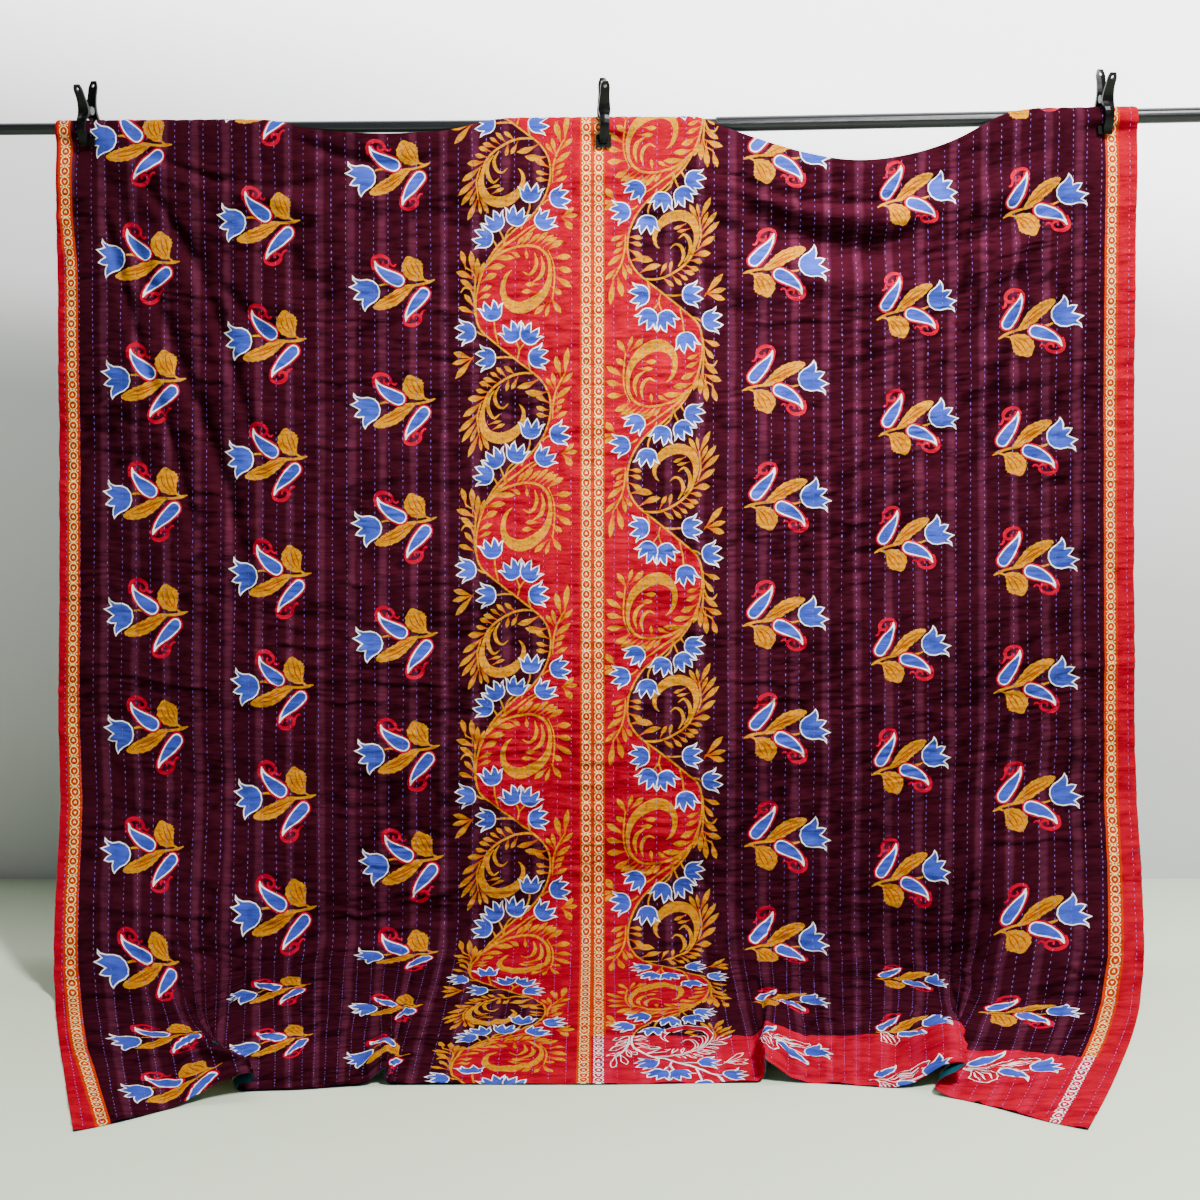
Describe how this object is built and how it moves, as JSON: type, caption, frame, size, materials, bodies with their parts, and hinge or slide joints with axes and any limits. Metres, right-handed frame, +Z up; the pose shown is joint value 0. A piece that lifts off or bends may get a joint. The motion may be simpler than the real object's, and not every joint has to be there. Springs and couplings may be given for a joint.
{
  "type": "kantha quilt clamped on a telescopic rod",
  "caption": "Hand-quilted cotton cover of sewn printed panels, clamped over a telescopic rod with its lower end spread out on the floor.",
  "frame": {"origin": "on the rod's axis, halfway between the rod's ends", "axes": "+X along the rod to the viewer's right, +Z up, -Y out of the quilt's printed face towards the viewer"},
  "size_m": [2.6004, 0.8991, 1.7852],
  "materials": {
    "quilt_cotton": "printed and hand quilted",
    "rod_black_steel": "satin black",
    "clamp_black_plastic": "moulded",
    "pad_black_rubber": "matt",
    "spring_dark_steel": "blackened"
  },
  "bodies": {
    "root": {"quilt_panel_left": "quilt_cotton", "quilt_panel_right": "quilt_cotton", "rod_inner_tube": "rod_black_steel", "rod_outer_tube": "rod_black_steel", "clamp_left_front_arm": "clamp_black_plastic", "clamp_left_back_arm": "clamp_black_plastic", "clamp_left_front_pad": "pad_black_rubber", "clamp_left_back_pad": "pad_black_rubber", "clamp_left_spring": "spring_dark_steel", "clamp_centre_front_arm": "clamp_black_plastic", "clamp_centre_back_arm": "clamp_black_plastic", "clamp_centre_front_pad": "pad_black_rubber", "clamp_centre_back_pad": "pad_black_rubber", "clamp_centre_spring": "spring_dark_steel", "clamp_right_front_arm": "clamp_black_plastic", "clamp_right_back_arm": "clamp_black_plastic", "clamp_right_front_pad": "pad_black_rubber", "clamp_right_back_pad": "pad_black_rubber", "clamp_right_spring": "spring_dark_steel"}
  },
  "joints": []
}
